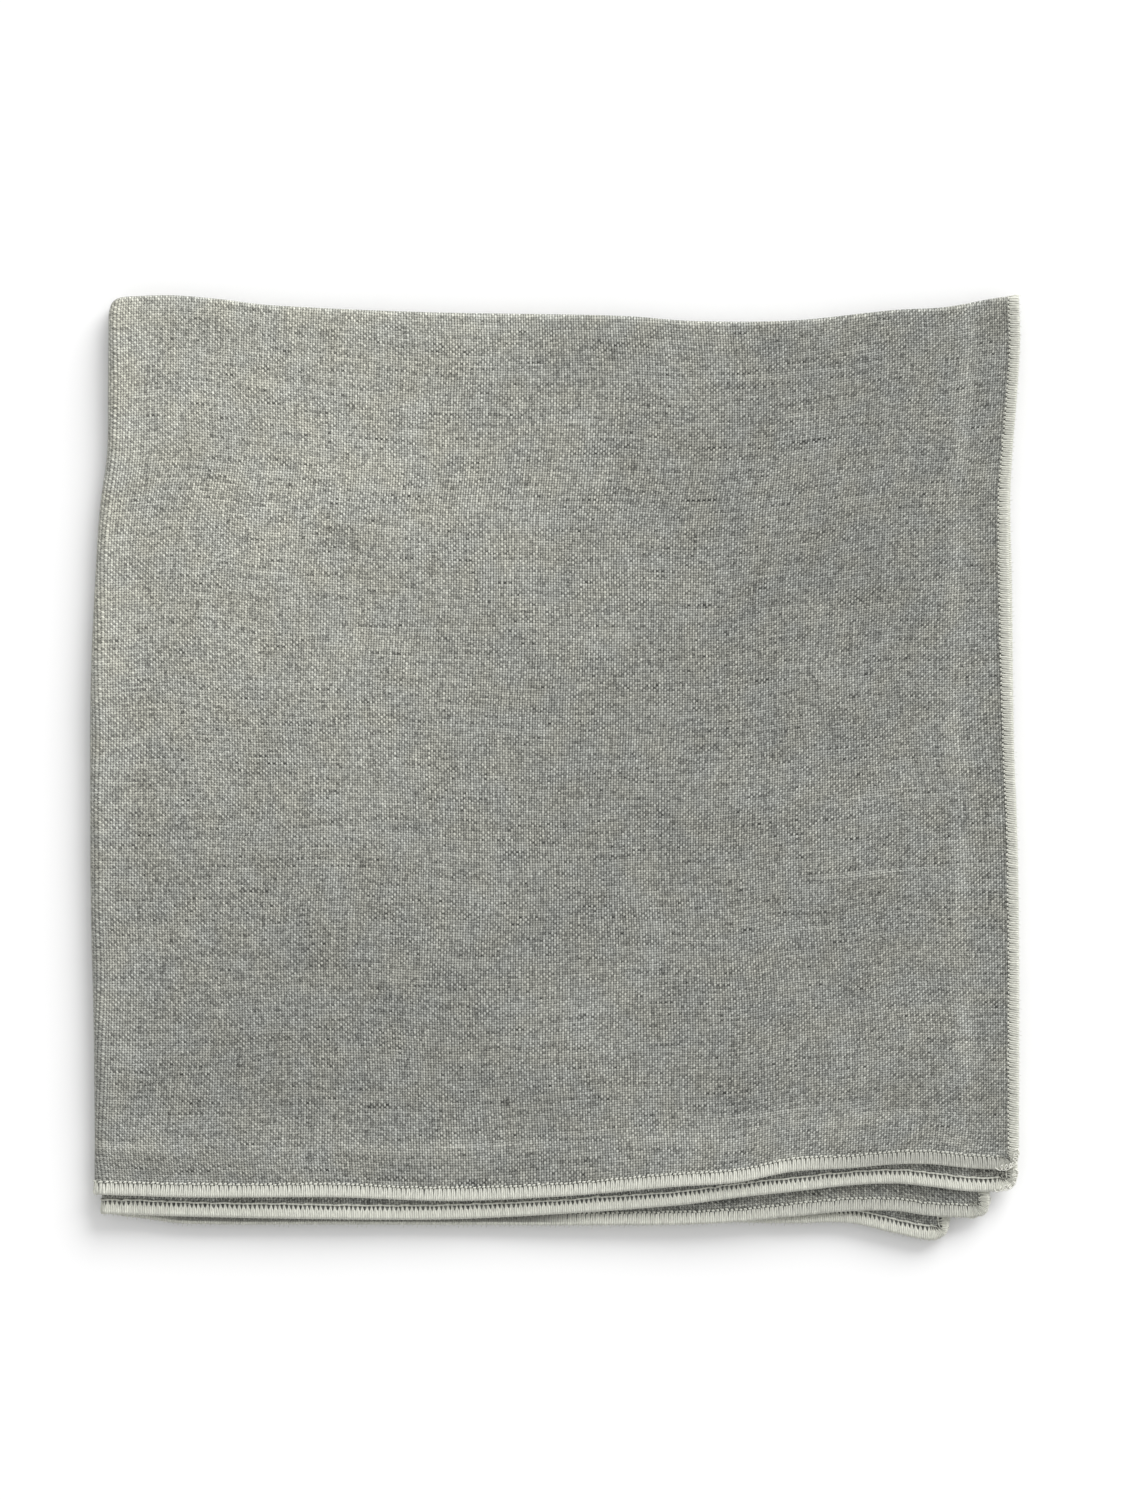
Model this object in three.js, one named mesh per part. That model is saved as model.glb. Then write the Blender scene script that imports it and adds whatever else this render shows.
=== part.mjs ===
// A square linen kitchen towel, folded in four and lying flat, with its overlocked edging.
// The towel lies on z = 0 with +X to the right and +Y towards the top fold.
// The first fold is the top edge and the second is the left edge, so four layers lie on each
// other: layer 1 on top, then 2 and 3, and layer 4 on the surface. All raw edges are at the
// right and at the bottom, where the layers step out unevenly.
import * as THREE from 'three';

// The flat towel in millimetres, measured from its two folds
const UPPER_WIDTH = 230;
const UNDER_WIDTH = 220;
const FACE_UP_LENGTH = 223.5;
const FACE_DOWN_LENGTH = 226.5;
const CORNER_ROUNDING = 5;
const CORNER_STRENGTH = 0.8;

// Cloth and edging
const CLOTH_THICKNESS = 1;
const EDGING_THICKNESS = 1.4;
const EDGING_WIDTH = 3.4;
const EDGING_LIP = 0.6;
const EDGING_GAP = 0.3;

// The folds, at the middle of what each one turns: one layer at the top, a pair at the left
const TOP_FOLD_RADIUS = 0.9;
const LEFT_FOLD_RADIUS = 2 * TOP_FOLD_RADIUS;
const FOLD_STEPS = 8;
const ROUNDED_STEPS = 3;
const FIELD_STEPS = 13;
const FIELD_CROWDING = 1.3;

// Where the folded outline lies, as nominal levels for the tables below
const TOP_LEVEL = 118.5;
const LEFT_LEVEL = -116.5;
const FACE_UP_FOOT = -107.5;
const FACE_DOWN_FOOT = -113;

// Left fold, seen from above
const LEFT_FOLD = [
  { y: 118.5, x: -112.4 },
  { y: 92.7, x: -112.6 },
  { y: 80.1, x: -112.8 },
  { y: 66.5, x: -114.6 },
  { y: 46.9, x: -115.9 },
  { y: 23.2, x: -116.9 },
  { y: 2, x: -117.1 },
  { y: -34.8, x: -116.9 },
  { y: -69.5, x: -116.1 },
  { y: -113, x: -115.9 },
];

// Top fold of layers 1 and 2
const TOP_FOLD = [
  { x: -117, y: 118.7 },
  { x: -109.3, y: 118.7 },
  { x: -96.7, y: 119.1 },
  { x: -84.1, y: 118.1 },
  { x: -71.5, y: 116.6 },
  { x: -33.8, y: 114.9 },
  { x: 16.6, y: 113.9 },
  { x: 35.5, y: 112.6 },
  { x: 60.7, y: 112.8 },
  { x: 85.9, y: 115.4 },
  { x: 98.5, y: 116.1 },
  { x: 111.1, y: 118.4 },
  { x: 117.3, y: 119 },
];

// Right edge of layer 1, and how far layer 2 shows past it
const RIGHT_EDGE = [
  { y: 118.5, x: 117, second: 0 },
  { y: 108, x: 117.3, second: 0 },
  { y: 94.5, x: 116.6, second: -0.2 },
  { y: 80.6, x: 115.5, second: 0.1 },
  { y: 66.8, x: 114.5, second: 0.5 },
  { y: 45, x: 114.7, second: 0.7 },
  { y: 17, x: 115.3, second: 0.4 },
  { y: -30.7, x: 116.9, second: -0.6 },
  { y: -89.2, x: 117.1, second: -0.6 },
  { y: -113, x: 116.9, second: 0 },
];

// Lower edges: layer 1, layer 2, and how far layers 4 and 3 hang below them
const LOWER_EDGES = [
  { x: -117, first: -107.4, second: -112.3, fourthBelow: 0, thirdBelow: 0 },
  { x: -105, first: -107.8, second: -112.7, fourthBelow: 0.3, thirdBelow: 0.8 },
  { x: -92.7, first: -108.2, second: -113.1, fourthBelow: 0.6, thirdBelow: 1.9 },
  { x: -55.2, first: -108.2, second: -113.8, fourthBelow: 2, thirdBelow: 1.4 },
  { x: -26.4, first: -109.1, second: -113.8, fourthBelow: 3.4, thirdBelow: 1.5 },
  { x: 2.5, first: -107.9, second: -112.4, fourthBelow: 5.2, thirdBelow: 3 },
  { x: 31.2, first: -105.4, second: -110.2, fourthBelow: 8.6, thirdBelow: 5 },
  { x: 45.8, first: -104.4, second: -108.3, fourthBelow: 10.2, thirdBelow: 6.2 },
  { x: 59.9, first: -101.7, second: -106.8, fourthBelow: 13.2, thirdBelow: 6.3 },
  { x: 74.3, first: -100.8, second: -105.2, fourthBelow: 14, thirdBelow: 6.6 },
  { x: 86, first: -99.8, second: -104.7, fourthBelow: 17.6, thirdBelow: 7 },
  { x: 94.7, first: -99.8, second: -105.5, fourthBelow: 19.3, thirdBelow: 7.4 },
  { x: 106, first: -100.9, second: -106.8, fourthBelow: 17, thirdBelow: 6.6 },
  { x: 117, first: -101.4, second: -106.4, fourthBelow: 17, thirdBelow: 6.2 },
];

// The under pair lies askew: its top fold falls away and its right edge stops short
const UNDER_TOP_DROP = 12.5;
const UNDER_RIGHT_X = 103;
const THIRD_REACH = 7;
const FOURTH_RETREAT = 3.3;

// Unevenness of the pile's height, as a share of the height
const RELIEF = { fold: 0.14, foldReach: 16, swell: 0.09, swellLength: 97, sag: -0.14 };
const SAG_START = 96;
const SAG_END = 114;
const EDGE_RISE_LENGTH = 10;

const LINEN = new THREE.MeshStandardMaterial({ color: 0x93928a, roughness: 0.95, metalness: 0 });
const THREAD = new THREE.MeshStandardMaterial({ color: 0xc8c6b8, roughness: 0.85, metalness: 0 });

// Eases from 0 to 1 with flat ends
function ease(share) {
  const s = Math.min(Math.max(share, 0), 1);
  return s * s * (3 - 2 * s);
}

// Slope of a table at a row, from its neighbours
function slopeAt(rows, row, along, value) {
  const before = rows[Math.max(row - 1, 0)];
  const after = rows[Math.min(row + 1, rows.length - 1)];
  return (after[value] - before[value]) / (after[along] - before[along]);
}

// Smooth curve through one column of a table, read at a place along another column
function readTable(rows, along, value, place) {
  const rising = rows[rows.length - 1][along] > rows[0][along];
  let row = 0;
  while (row < rows.length - 2 && rows[row + 1][along] > place !== rising) row += 1;
  const start = rows[row];
  const end = rows[row + 1];
  const span = end[along] - start[along];
  const t = Math.min(Math.max((place - start[along]) / span, 0), 1);
  const startSlope = slopeAt(rows, row, along, value) * span;
  const endSlope = slopeAt(rows, row + 1, along, value) * span;
  const rise = end[value] - start[value];
  return start[value] + t * (startSlope + t * (3 * rise - 2 * startSlope - endSlope
    + t * (startSlope + endSlope - 2 * rise)));
}

// Pulls the corner of a unit square in, so that its outline is rounded
function roundCorner(a, b) {
  if (a <= 0 || b <= 0) return [a, b];
  return [
    a * Math.sqrt(1 - CORNER_STRENGTH * b * b / 2),
    b * Math.sqrt(1 - CORNER_STRENGTH * a * a / 2),
  ];
}

// Rounds the four free corners of the flat towel
function roundFreeCorner(across, along) {
  const width = across > 0 ? UPPER_WIDTH : UNDER_WIDTH;
  const length = along > 0 ? FACE_UP_LENGTH : FACE_DOWN_LENGTH;
  const a = (Math.abs(across) - width) / CORNER_ROUNDING + 1;
  const b = (Math.abs(along) - length) / CORNER_ROUNDING + 1;
  const [roundedA, roundedB] = roundCorner(a, b);
  return [
    Math.sign(across) * (width + (roundedA - 1) * CORNER_ROUNDING),
    Math.sign(along) * (length + (roundedB - 1) * CORNER_ROUNDING),
  ];
}

// Follows one fold: distance in from the fold's outermost line, and height off its middle
function followFold(distance, radius, outer, height) {
  const turn = Math.min(Math.max(distance / radius, -Math.PI / 2), Math.PI / 2);
  const straight = Math.abs(distance) - Math.abs(turn) * radius;
  return {
    inward: outer - (radius + height) * Math.cos(turn) + straight,
    height: (radius + height) * Math.sin(turn),
  };
}

// Share of the way from a fold to the raw edge, 0 all round the fold itself
function shareBeyondFold(inward, flatLength, radius, outer) {
  const whole = outer + flatLength - radius * Math.PI / 2;
  return { share: Math.max(0, (inward - outer) / (whole - outer)), whole };
}

// Height of the pile at a place, as a share of its plain height
function heightShare(x, y) {
  const fromFold = Math.min(x - LEFT_LEVEL, TOP_LEVEL - y);
  const fold = RELIEF.fold * Math.exp(-fromFold / RELIEF.foldReach);
  const phase = (x * 0.8 + y) / RELIEF.swellLength;
  const swell = RELIEF.swell * Math.sin(2 * Math.PI * phase) * Math.cos(x / RELIEF.swellLength);
  const sag = RELIEF.sag * ease((x - SAG_START) / (SAG_END - SAG_START));
  return 1 + fold + Math.max(swell, 0) + sag;
}

// Middle of the cloth where a point of the flat towel lies once folded
function middleOfCloth(flatAcross, flatAlong) {
  const [across, along] = roundFreeCorner(flatAcross, flatAlong);
  const half = CLOTH_THICKNESS / 2;
  const upper = across > 0;
  const faceUp = along > 0;
  const topOuter = TOP_FOLD_RADIUS + half;
  const leftOuter = LEFT_FOLD_RADIUS + topOuter;
  const top = followFold(along, TOP_FOLD_RADIUS, topOuter, 0);
  const left = followFold(across, LEFT_FOLD_RADIUS, leftOuter, top.height);
  const down = shareBeyondFold(
    top.inward, faceUp ? FACE_UP_LENGTH : FACE_DOWN_LENGTH, TOP_FOLD_RADIUS, topOuter);
  const right = shareBeyondFold(
    left.inward, upper ? UPPER_WIDTH : UNDER_WIDTH, LEFT_FOLD_RADIUS, leftOuter);

  const a = 1 - left.inward / CORNER_ROUNDING;
  const b = 1 - top.inward / CORNER_ROUNDING;
  const [roundedA, roundedB] = roundCorner(a, b);
  const inwardX = (1 - roundedA) * CORNER_ROUNDING;
  const inwardY = (1 - roundedB) * CORNER_ROUNDING;

  const level = TOP_LEVEL + ((faceUp ? FACE_UP_FOOT : FACE_DOWN_FOOT) - TOP_LEVEL) * down.share;
  const leftX = readTable(LEFT_FOLD, 'y', 'x', level);
  let rightX = readTable(RIGHT_EDGE, 'y', 'x', level);
  if (upper && !faceUp) rightX += readTable(RIGHT_EDGE, 'y', 'second', level);
  if (!upper) rightX = UNDER_RIGHT_X + (faceUp ? -FOURTH_RETREAT : THIRD_REACH) * down.share;
  const x = leftX + inwardX + (rightX - leftX - right.whole) * right.share;

  let topY = readTable(TOP_FOLD, 'x', 'y', x);
  let lowerY = readTable(LOWER_EDGES, 'x', faceUp ? 'first' : 'second', x);
  if (!upper) {
    const near = ease(right.share * UNDER_WIDTH / CORNER_ROUNDING);
    topY -= UNDER_TOP_DROP * right.share;
    lowerY -= near * readTable(LOWER_EDGES, 'x', faceUp ? 'fourthBelow' : 'thirdBelow', x);
  }
  const y = topY - inwardY - (topY - lowerY - down.whole) * down.share;

  const plainHeight = LEFT_FOLD_RADIUS + TOP_FOLD_RADIUS + left.height;
  const toEdge = Math.min(
    (upper ? UPPER_WIDTH : UNDER_WIDTH) - Math.abs(across),
    (faceUp ? FACE_UP_LENGTH : FACE_DOWN_LENGTH) - Math.abs(along));
  const rise = (EDGING_THICKNESS - CLOTH_THICKNESS) / 2;
  const edgeRise = rise * ease(1 - (toEdge - EDGING_WIDTH) / EDGE_RISE_LENGTH);
  return new THREE.Vector3(x, y, half + plainHeight * heightShare(x, y) + edgeRise);
}

// A point of the towel, off the middle of the cloth towards its right side by some height
function foldedPoint(across, along, height) {
  const step = 0.01;
  const middle = middleOfCloth(across, along);
  const alongAcross = middleOfCloth(across + step, along).sub(middleOfCloth(across - step, along));
  const alongAlong = middleOfCloth(across, along + step).sub(middleOfCloth(across, along - step));
  const off = alongAlong.cross(alongAcross).normalize();
  return middle.addScaledVector(off, height);
}

// Places from one raw edge over the fold to the other, close together at folds and corners.
// The cloth stops short of the edging by its inset, and shares all its other places with it.
function stations(underEnd, upperEnd, radius, inset) {
  const arc = radius * Math.PI / 2;
  const side = (end) => {
    const stretches = [
      { from: arc, to: CORNER_ROUNDING, steps: ROUNDED_STEPS, crowding: 1 },
      { from: CORNER_ROUNDING, to: end - CORNER_ROUNDING, steps: FIELD_STEPS, crowding: FIELD_CROWDING },
      { from: end - CORNER_ROUNDING, to: end - inset, steps: ROUNDED_STEPS, crowding: 1 },
    ];
    return stretches.flatMap(({ from, to, steps, crowding }) => (
      Array.from({ length: steps }, (_, i) => to - (to - from) * (1 - (i + 1) / steps) ** crowding)));
  };
  const under = side(underEnd).reverse().map((place) => -place);
  const fold = Array.from({ length: FOLD_STEPS + 1 }, (_, i) => arc * (2 * i / FOLD_STEPS - 1));
  return [...under, ...fold, ...side(upperEnd)];
}

// Closed mesh from points and faces
function solid(name, points, faces, material) {
  const geometry = new THREE.BufferGeometry();
  const positions = points.flatMap((point) => [point.x, point.y, point.z]);
  geometry.setAttribute('position', new THREE.Float32BufferAttribute(positions, 3));
  geometry.setIndex(faces.flat());
  geometry.computeVertexNormals();
  const mesh = new THREE.Mesh(geometry, material);
  mesh.name = name;
  return mesh;
}

// The cloth: a grid of points on its right side, one on its wrong side, and the raw rim
function makeCloth() {
  const inset = EDGING_WIDTH + EDGING_GAP;
  const columns = stations(UNDER_WIDTH, UPPER_WIDTH, LEFT_FOLD_RADIUS, inset);
  const rows = stations(FACE_DOWN_LENGTH, FACE_UP_LENGTH, TOP_FOLD_RADIUS, inset);
  const points = [];
  for (const height of [CLOTH_THICKNESS / 2, -CLOTH_THICKNESS / 2]) {
    for (const along of rows) {
      for (const across of columns) points.push(foldedPoint(across, along, height));
    }
  }
  const other = rows.length * columns.length;
  const at = (row, column) => row * columns.length + column;
  const faces = [];
  for (let row = 0; row + 1 < rows.length; row += 1) {
    for (let column = 0; column + 1 < columns.length; column += 1) {
      const [a, b] = [at(row, column), at(row, column + 1)];
      const [c, d] = [at(row + 1, column + 1), at(row + 1, column)];
      faces.push([a, c, b], [a, d, c]);
      faces.push([other + a, other + b, other + c], [other + a, other + c, other + d]);
    }
  }
  const rim = [];
  for (let column = 0; column + 1 < columns.length; column += 1) rim.push(at(0, column));
  for (let row = 0; row + 1 < rows.length; row += 1) rim.push(at(row, columns.length - 1));
  for (let column = columns.length - 1; column > 0; column -= 1) rim.push(at(rows.length - 1, column));
  for (let row = rows.length - 1; row > 0; row -= 1) rim.push(at(row, 0));
  rim.forEach((a, i) => {
    const b = rim[(i + 1) % rim.length];
    faces.push([a, b, other + b], [a, other + b, other + a]);
  });
  return solid('cloth', points, faces, LINEN);
}

// Section of the edging: distance in from the outer lip, and height off the middle of the cloth
function edgingSection() {
  const half = EDGING_THICKNESS / 2;
  return [
    { inward: 0, height: half * 0.4 },
    { inward: EDGING_LIP, height: half },
    { inward: EDGING_WIDTH - EDGING_LIP, height: half },
    { inward: EDGING_WIDTH, height: half * 0.5 },
    { inward: EDGING_WIDTH, height: -half * 0.5 },
    { inward: EDGING_WIDTH - EDGING_LIP, height: -half },
    { inward: EDGING_LIP, height: -half },
    { inward: 0, height: -half * 0.4 },
  ];
}

// Places round the towel's raw edge, each with the way in from the outer lip. Towards a free
// corner the way in turns, until it points along the corner's own diagonal.
function edgeStations() {
  const turn = (place, under, upper) => {
    const past = Math.abs(place) - ((place > 0 ? upper : under) - CORNER_ROUNDING);
    return -Math.sign(place) * Math.max(0, past / CORNER_ROUNDING);
  };
  const columns = stations(UNDER_WIDTH, UPPER_WIDTH, LEFT_FOLD_RADIUS, 0);
  const rows = stations(FACE_DOWN_LENGTH, FACE_UP_LENGTH, TOP_FOLD_RADIUS, 0);
  const acrossAt = (y, inY) => (x) => ({ x, y, inX: turn(x, UNDER_WIDTH, UPPER_WIDTH), inY });
  const alongAt = (x, inX) => (y) => ({ x, y, inX, inY: turn(y, FACE_DOWN_LENGTH, FACE_UP_LENGTH) });
  return [
    ...columns.slice(1).map(acrossAt(-FACE_DOWN_LENGTH, 1)),
    ...rows.slice(1).map(alongAt(UPPER_WIDTH, -1)),
    ...columns.slice(0, -1).reverse().map(acrossAt(FACE_UP_LENGTH, -1)),
    ...rows.slice(0, -1).reverse().map(alongAt(-UNDER_WIDTH, 1)),
  ];
}

// The edging: its section carried once round all four raw edges
function makeEdging() {
  const section = edgingSection();
  const places = edgeStations();
  const points = [];
  for (const place of places) {
    for (const corner of section) {
      const across = place.x + place.inX * corner.inward;
      const along = place.y + place.inY * corner.inward;
      points.push(foldedPoint(across, along, corner.height));
    }
  }
  const faces = [];
  places.forEach((place, i) => {
    const start = i * section.length;
    const next = ((i + 1) % places.length) * section.length;
    section.forEach((corner, j) => {
      const k = (j + 1) % section.length;
      faces.push([start + j, start + k, next + k], [start + j, next + k, next + j]);
    });
  });
  return solid('edging', points, faces, THREAD);
}

const towel = new THREE.Group();
towel.add(makeCloth(), makeEdging());

export default towel;
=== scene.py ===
"""Dresses the folded kitchen towel: woven linen, overlocked edging, soft studio light."""
import math

import bpy
import numpy as np
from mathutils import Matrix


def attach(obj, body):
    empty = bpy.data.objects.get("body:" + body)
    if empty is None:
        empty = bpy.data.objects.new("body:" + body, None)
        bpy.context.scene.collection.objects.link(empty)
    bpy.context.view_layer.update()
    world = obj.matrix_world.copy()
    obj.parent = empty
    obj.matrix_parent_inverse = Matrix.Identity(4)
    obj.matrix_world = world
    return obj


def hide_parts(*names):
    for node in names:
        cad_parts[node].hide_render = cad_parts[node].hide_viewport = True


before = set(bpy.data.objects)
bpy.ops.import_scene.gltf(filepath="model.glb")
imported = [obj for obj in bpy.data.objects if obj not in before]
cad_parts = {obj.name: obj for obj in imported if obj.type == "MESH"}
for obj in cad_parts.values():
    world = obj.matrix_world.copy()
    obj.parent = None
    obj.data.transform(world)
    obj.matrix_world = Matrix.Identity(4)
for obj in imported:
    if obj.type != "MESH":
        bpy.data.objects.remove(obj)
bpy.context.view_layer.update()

bl_info = {
    "name": "Folded kitchen towel",
    "version": (1, 0, 0),
    "blender": (4, 5, 0),
    "location": "View3D > Sidebar > Towel",
    "description": "Builds a linen kitchen towel, folded in four, with its overlocked edging",
    "category": "Add Mesh",
}

MM = 0.001


def table(columns, rows):
    """Rows of values with a name for each column."""
    return [dict(zip(columns, row)) for row in rows]


# Nominal levels of the folded outline in millimetres, for the tables below
TOP_LEVEL = 118.5
LEFT_LEVEL = -116.5
FACE_UP_FOOT = -107.5
FACE_DOWN_FOOT = -113.0

# Left fold, seen from above
LEFT_FOLD = table(("y", "x"), [
    (118.5, -112.4),
    (92.7, -112.6),
    (80.1, -112.8),
    (66.5, -114.6),
    (46.9, -115.9),
    (23.2, -116.9),
    (2, -117.1),
    (-34.8, -116.9),
    (-69.5, -116.1),
    (-113, -115.9),
])

# Top fold of layers 1 and 2
TOP_FOLD = table(("x", "y"), [
    (-117, 118.7),
    (-109.3, 118.7),
    (-96.7, 119.1),
    (-84.1, 118.1),
    (-71.5, 116.6),
    (-33.8, 114.9),
    (16.6, 113.9),
    (35.5, 112.6),
    (60.7, 112.8),
    (85.9, 115.4),
    (98.5, 116.1),
    (111.1, 118.4),
    (117.3, 119),
])

# Right edge of layer 1, and how far layer 2 shows past it
RIGHT_EDGE = table(("y", "x", "second"), [
    (118.5, 117, 0),
    (108, 117.3, 0),
    (94.5, 116.6, -0.2),
    (80.6, 115.5, 0.1),
    (66.8, 114.5, 0.5),
    (45, 114.7, 0.7),
    (17, 115.3, 0.4),
    (-30.7, 116.9, -0.6),
    (-89.2, 117.1, -0.6),
    (-113, 116.9, 0),
])

# Lower edges: layer 1, layer 2, and how far layers 4 and 3 hang below them
LOWER_EDGES = table(("x", "first", "second", "fourth_below", "third_below"), [
    (-117, -107.4, -112.3, 0, 0),
    (-105, -107.8, -112.7, 0.3, 0.8),
    (-92.7, -108.2, -113.1, 0.6, 1.9),
    (-55.2, -108.2, -113.8, 2, 1.4),
    (-26.4, -109.1, -113.8, 3.4, 1.5),
    (2.5, -107.9, -112.4, 5.2, 3),
    (31.2, -105.4, -110.2, 8.6, 5),
    (45.8, -104.4, -108.3, 10.2, 6.2),
    (59.9, -101.7, -106.8, 13.2, 6.3),
    (74.3, -100.8, -105.2, 14, 6.6),
    (86, -99.8, -104.7, 17.6, 7),
    (94.7, -99.8, -105.5, 19.3, 7.4),
    (106, -100.9, -106.8, 17, 6.6),
    (117, -101.4, -106.4, 17, 6.2),
])

# The under pair lies askew: its top fold falls away and its right edge stops short
UNDER_TOP_DROP = 12.5
UNDER_RIGHT_X = 103.0
THIRD_REACH = 7.0
FOURTH_RETREAT = 3.3

# Unevenness of the pile's height, as a share of the height
FOLD_PUFF = 0.14
FOLD_PUFF_REACH = 16.0
SWELL = 0.09
SWELL_LENGTH = 97.0
SWELL_SLANT = 0.8
SAG = -0.16
SAG_START = 101.0
SAG_END = 107.0
EDGE_RISE_LENGTH = 10.0

# Beside the lower edges the layers close up, and the whole pile lifts off the floor. A lip that
# lies on the next one keeps more room than one that lies clear of it.
SETTLE_REACH = 13.0
LIP_CURL = 0.3
CLOTH_CLOSING = 0.72
LIP_CLOSING = 0.45
LIP_CLEAR = {"start": 1, "reach": 3}
LOWER_LIFT = {"left": 0.8, "right": 2.3, "start": -30.0, "reach": 80.0}

# How near a corner it starts to round, and how much of a full rounding it gets
CORNER_ROUNDING = 5.0
CORNER_STRENGTH = 0.8

# How far the linen's raw edge lies in from the edging's lip
RAW_EDGE_INSET = 0.5

# The upper layers dip before the lower edging
HOLLOW = {"y": -87.5, "reach": 6.0, "share": -0.07}

# Soft ripples of the linen: their direction, length and height as a share of the pile's height
RIPPLES = table(("turn", "length", "share", "start"), [
    (12, 31, 0.010, 0.3),
    (78, 43, 0.012, 1.9),
    (140, 23, 0.007, 4.1),
    (35, 17, 0.005, 2.7),
    (105, 13, 0.004, 5.2),
])

# One leg of a stitch's thread, from the needle line over the lip to the other face.
# inward is a share of the edging's width, height a share of its half thickness, lean a share
# of the way to the needle hole, and girth a share of the thread's radius.
LEG_PATH = table(("inward", "height", "lean", "girth"), [
    (0.84, 0.60, 0.20, 0.80),
    (0.20, 1.10, 0.00, 1.15),
    (0.03, 0.80, 0.00, 1.15),
    (0.03, -0.80, 0.00, 1.15),
    (0.20, -1.10, 0.00, 1.15),
    (0.58, -0.90, 0.00, 1.10),
    (0.76, -0.76, 0.55, 0.75),
    (0.97, -0.64, 0.95, 0.50),
])
LEGS = table(("centre", "inner"), [
    (0.25, 0.12),
    (0.75, 0.03),
])
FLAT_THREAD = 1.8

# The thread's turn along the needle line, on the right side and on the other one, and a
# stray fibre at the lip
BEAD_PATHS = [table(("run", "inward", "height", "girth"), rows) for rows in (
    [(-0.02, 0.93, 0.60, 1.1), (0.24, 0.98, 1.05, 2.0), (0.55, 1.01, 0.60, 1.0)],
    [(0.00, 1.05, -0.85, 1.3), (0.50, 1.03, -1.05, 1.7), (1.00, 1.05, -0.85, 1.3)],
    [(0.45, 0.06, 0.80, 0.40), (0.60, -0.09, 0.40, 0.20)],
)]
STRAY_START = -0.24
STRAY_REACH = 2.0

# Loose loops of thread at each free corner: how many, how wide, how far they reach round it and
# lie in from its lips, and how unevenly they lie
LOOP_SEED = 60
LOOP_COUNT = 7
POINTS_A_LOOP = 7
LOOP_RADIUS = 0.8
LOOP_RADIUS_SPREAD = (0.6, 1.2)
LOOP_REACH = 9.0
LOOP_INSET = 0.5
LOOP_HEIGHT_SPREAD = 0.12
LOOP_GIRTH = 0.85

# Stretches of edging that lie in the shade, painted as darker thread: the painted shade sets in at
# start, is full from full on, and stops at end, all shares of the run. The band between the lip and
# the beads is in all of it, and those two in less.
SHADED_STRETCHES = table(("run", "start", "full", "end", "shade"), [
    (0, 0.87, 0.92, 1.2, 0.66),
    (1, 0.16, 0.08, -0.2, 0.80),
])
SHADED_BAND = {"lip": 0.35, "beads": 2.9, "fade": 0.4, "outside": 0.35}

# Where layer 3 barely shows below layer 2, only its lip catches the light
HIDDEN_BAND = {"run": 1, "start": 0.22, "end": 0.47, "fade": 0.03, "shade": 0.42}
HIDDEN_BAND_LIP = {"start": 0.55, "reach": 0.3}

# The edging on the right edges is narrower than the one on the lower edges
RIGHT_WIDTH_SHARE = 0.8

# How unevenly the stitches are sewn: their lean in millimetres, their reach and height as shares,
# and how much more so right at the free corners. The drifts are slow waves of lean and reach,
# each its height and its run to a radian in millimetres.
STITCH_SEED = 40
UNREST = {"lean": 0.06, "reach": 0.025, "height": 0.05, "at_corners": 4}
LEAN_DRIFTS = [(0.12, 9.0), (0.05, 3.7)]
REACH_DRIFT = (0.02, 6.1)

# No thread sinks below this height, in millimetres
FLOOR_CLEARANCE = 0.02

# The edging's own UV map: v runs over this many millimetres with the lip in its middle, and each
# run of edging starts this far along u
EDGING_SPAN = 8.0
RUN_STEP = 2.0

# Each run of edging: which flat direction it follows, and which raw edge it is sewn to
EDGING_RUNS = table(("name", "along_axis", "side", "slant"), [
    ("edging_lower_face_up", 0, 1, 0.1),
    ("edging_lower_face_down", 0, -1, -0.15),
    ("edging_right_upper", 1, 1, -0.45),
    ("edging_right_under", 1, -1, 0.3),
])

# Threads run straight beside the raw edges, and stray further in. Each wave is its height, its
# run to a radian along the threads and across them, and its start, in millimetres and radians.
WANDER_START = 14.0
SIDEWAYS_WAVES = [(0.8, 31, 61, 0.4), (0.25, 11.1, -23, 2.0), (0.08, 4.7, 9.7, 0.0)]
LENGTHWAYS_WAVES = [(0.8, 29, -70, 1.1), (0.25, 12.9, 31, 4.0), (0.08, 4.3, -11.9, 0.0)]

# Upright threads lie higher in the weave and catch more light, painted as a lighter tone than the
# level ones get. bend and rise place the middle of a thread, and narrow, wide and bump_half are half
# widths, all in thread pitches. tone is how far its own tone strays, and shine the painted light on it.
WARP = {"bend": 0.18, "rise": 0.08, "narrow": 0.35, "wide": 0.46, "bump_half": 0.45,
        "tone": 0.14, "shine": 1.21, "seed": 11.3}
WEFT = {"bend": -0.30, "rise": -0.06, "narrow": 0.40, "wide": 0.50, "bump_half": 0.43,
        "tone": 0.40, "shine": 0.83, "seed": 47.9}
ROUNDNESS = 0.5

# Threads crowd and part: how often in a millimetre, and by how much of a pitch
CROWDING = {"grain": 0.45, "shift": 0.50}

# Noise along each thread: its step to the next thread, its grain in a millimetre, seed and detail
WIDTH_NOISE = (6.17, 0.14, 3.0, 1.0)
SLOW_NOISE = (7.31, 0.06, 0.0, 2.0)
FLECK_NOISE = (3.77, 0.95, 9.0, 0.0)
SLUB_NOISE = (5.13, 0.11, 21.0, 0.0)

# Smooth noise runs from 0 to 1 but mostly keeps to its middle, so these spans of it are stretched
WIDTH_SPAN = (0.3, 0.7)
SLOW_SPAN = (0.28, 0.72)
HUE_SPAN = (0.3, 0.7)
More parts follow.
